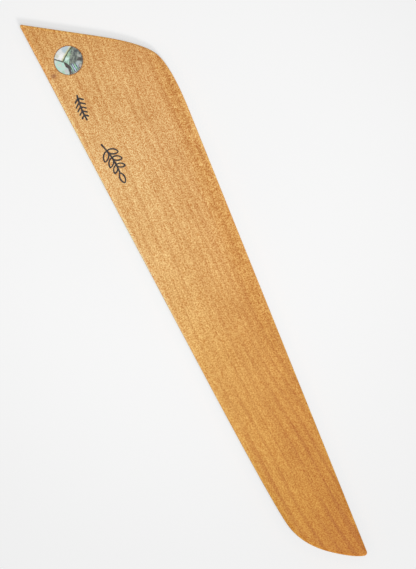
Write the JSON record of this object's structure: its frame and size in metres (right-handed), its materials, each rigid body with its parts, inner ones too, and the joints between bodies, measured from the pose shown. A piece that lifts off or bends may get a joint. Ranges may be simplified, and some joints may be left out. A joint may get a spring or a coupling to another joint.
{
  "type": "bone folder",
  "caption": "Flat tapered wooden creasing tool with rounded edges, a slanted handle end, a curved nose and a round shell dot inlaid flush in its face.",
  "frame": {"origin": "middle of the outline's box, on the back face", "axes": "+X along the centreline of the long edges, from the slanted handle end to the tip; +Y to the straight spine edge; +Z out of the show face, the one with the shell dot"},
  "size_m": [0.1757, 0.0334, 0.004],
  "materials": {
    "blade_wood": "sanded and lightly oiled golden softwood",
    "inlay_adhesive": "set dark brown adhesive, sanded flush",
    "shell": "polished iridescent shell"
  },
  "bodies": {
    "root": {"blade": "blade_wood", "inlay_adhesive": "inlay_adhesive", "shell_inlay": "shell"}
  },
  "joints": []
}
